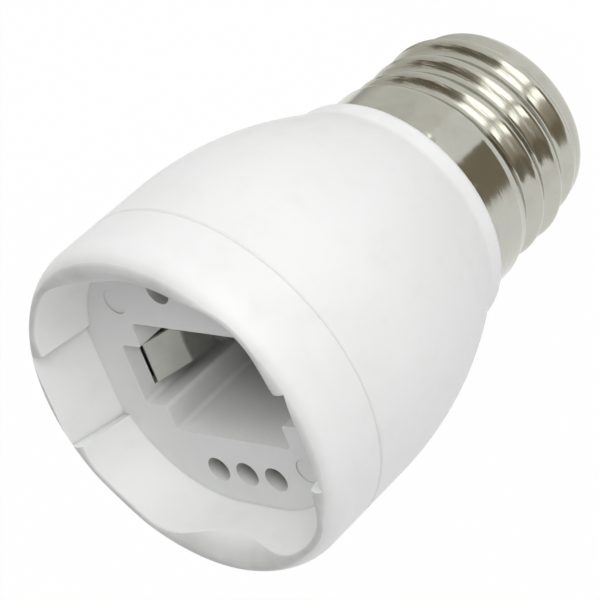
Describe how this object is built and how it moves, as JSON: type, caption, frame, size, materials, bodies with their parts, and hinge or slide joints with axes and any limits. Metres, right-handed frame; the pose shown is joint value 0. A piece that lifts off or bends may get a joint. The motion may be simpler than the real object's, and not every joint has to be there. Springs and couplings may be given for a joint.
{
  "type": "lamp socket adapter",
  "caption": "Round white adapter that screws into a lamp holder with its threaded metal cap and takes a pin-based lamp in a recessed socket with spring clips.",
  "frame": {"origin": "on the part's axis at the shoulder, where the skirt of the screw shell meets the body", "axes": "+Z along the part's axis, out of the lamp socket; X along the rows of pin holes; Y across them"},
  "size_m": [0.0408, 0.0408, 0.064],
  "materials": {
    "white_moulding": "moulded satin",
    "nickel_sheet": "bright nickel plate",
    "black_insulator": "moulded",
    "solder_tin": "tinned",
    "spring_steel": "rolled",
    "contact_bronze": "rolled",
    "lead_insulation": "extruded"
  },
  "bodies": {
    "adapter": {"socket_front": "white_moulding", "rear_body": "white_moulding", "screw_shell": "nickel_sheet", "end_insulator": "black_insulator", "centre_contact": "solder_tin", "contact_strip_line": "contact_bronze", "contact_strip_neutral": "contact_bronze", "lead_wire_line": "lead_insulation", "lead_wire_neutral": "lead_insulation", "solder_bead": "solder_tin"},
    "left_clip": {"clip_left": "spring_steel"},
    "right_clip": {"clip_right": "spring_steel"}
  },
  "joints": [
    {"name": "left_clip_flex", "type": "hinge", "parent": "adapter", "child": "left_clip", "pos_m": [-0.0106, 0, 0.0199], "axis": [0, -1, 0], "range_deg": [0, 9], "stiffness_Nm_per_rad": 0.05},
    {"name": "right_clip_flex", "type": "hinge", "parent": "adapter", "child": "right_clip", "pos_m": [0.0106, 0, 0.0199], "axis": [0, 1, 0], "range_deg": [0, 9], "stiffness_Nm_per_rad": 0.05}
  ]
}
